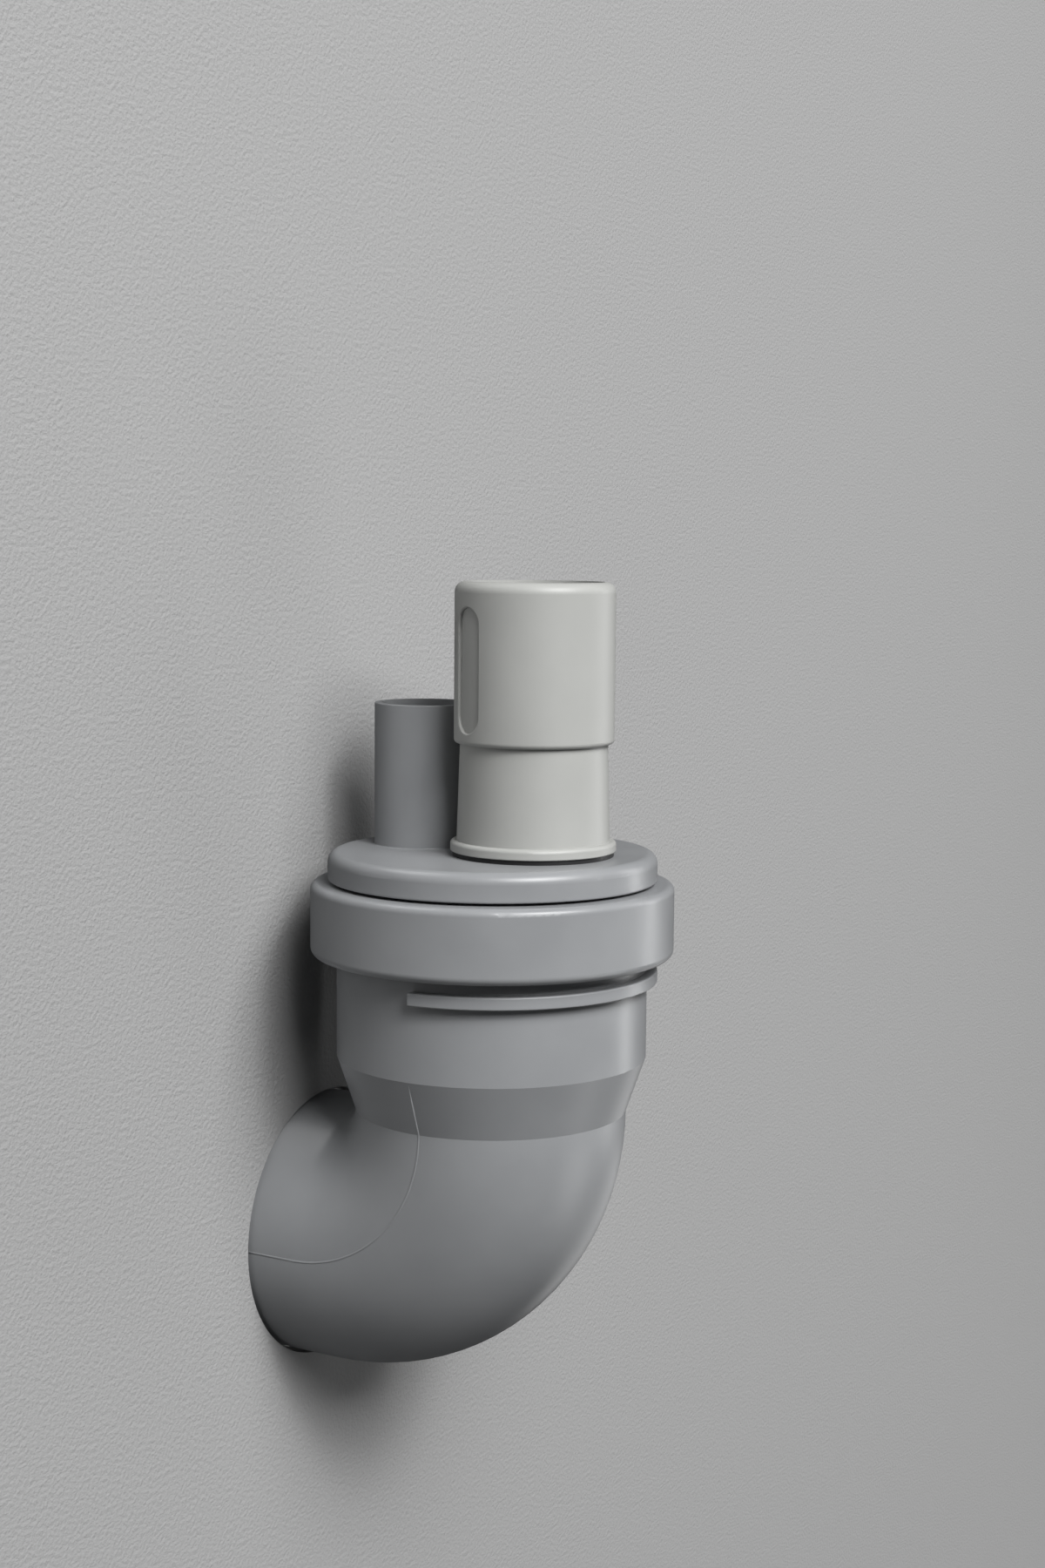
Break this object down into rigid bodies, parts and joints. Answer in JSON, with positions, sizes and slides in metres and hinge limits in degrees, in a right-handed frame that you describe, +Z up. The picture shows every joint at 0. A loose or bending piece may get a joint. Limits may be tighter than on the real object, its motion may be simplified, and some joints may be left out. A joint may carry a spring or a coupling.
{
  "type": "washing machine waste adapter",
  "caption": "Grey waste elbow for a wall pipe, closed by a sealed cap with a small hose stub and a light grey push-on coupler that takes a washing machine's drain hose.",
  "frame": {"origin": "on the wall spigot's axis, in the plane of the wall's face", "axes": "+Y along the spigot into the wall, +Z up the socket's axis"},
  "size_m": [0.0666, 0.115, 0.1493],
  "materials": {
    "grey_plastic": "satin moulded grey",
    "light_plastic": "satin moulded light grey",
    "black_rubber": "matte black"
  },
  "bodies": {
    "root": {"waste_elbow": "grey_plastic", "seal_collar": "grey_plastic", "twin_inlet_cap": "grey_plastic", "hose_coupler": "light_plastic", "lip_seal": "black_rubber", "spigot_ring": "black_rubber", "coupler_gasket": "black_rubber"}
  },
  "joints": []
}
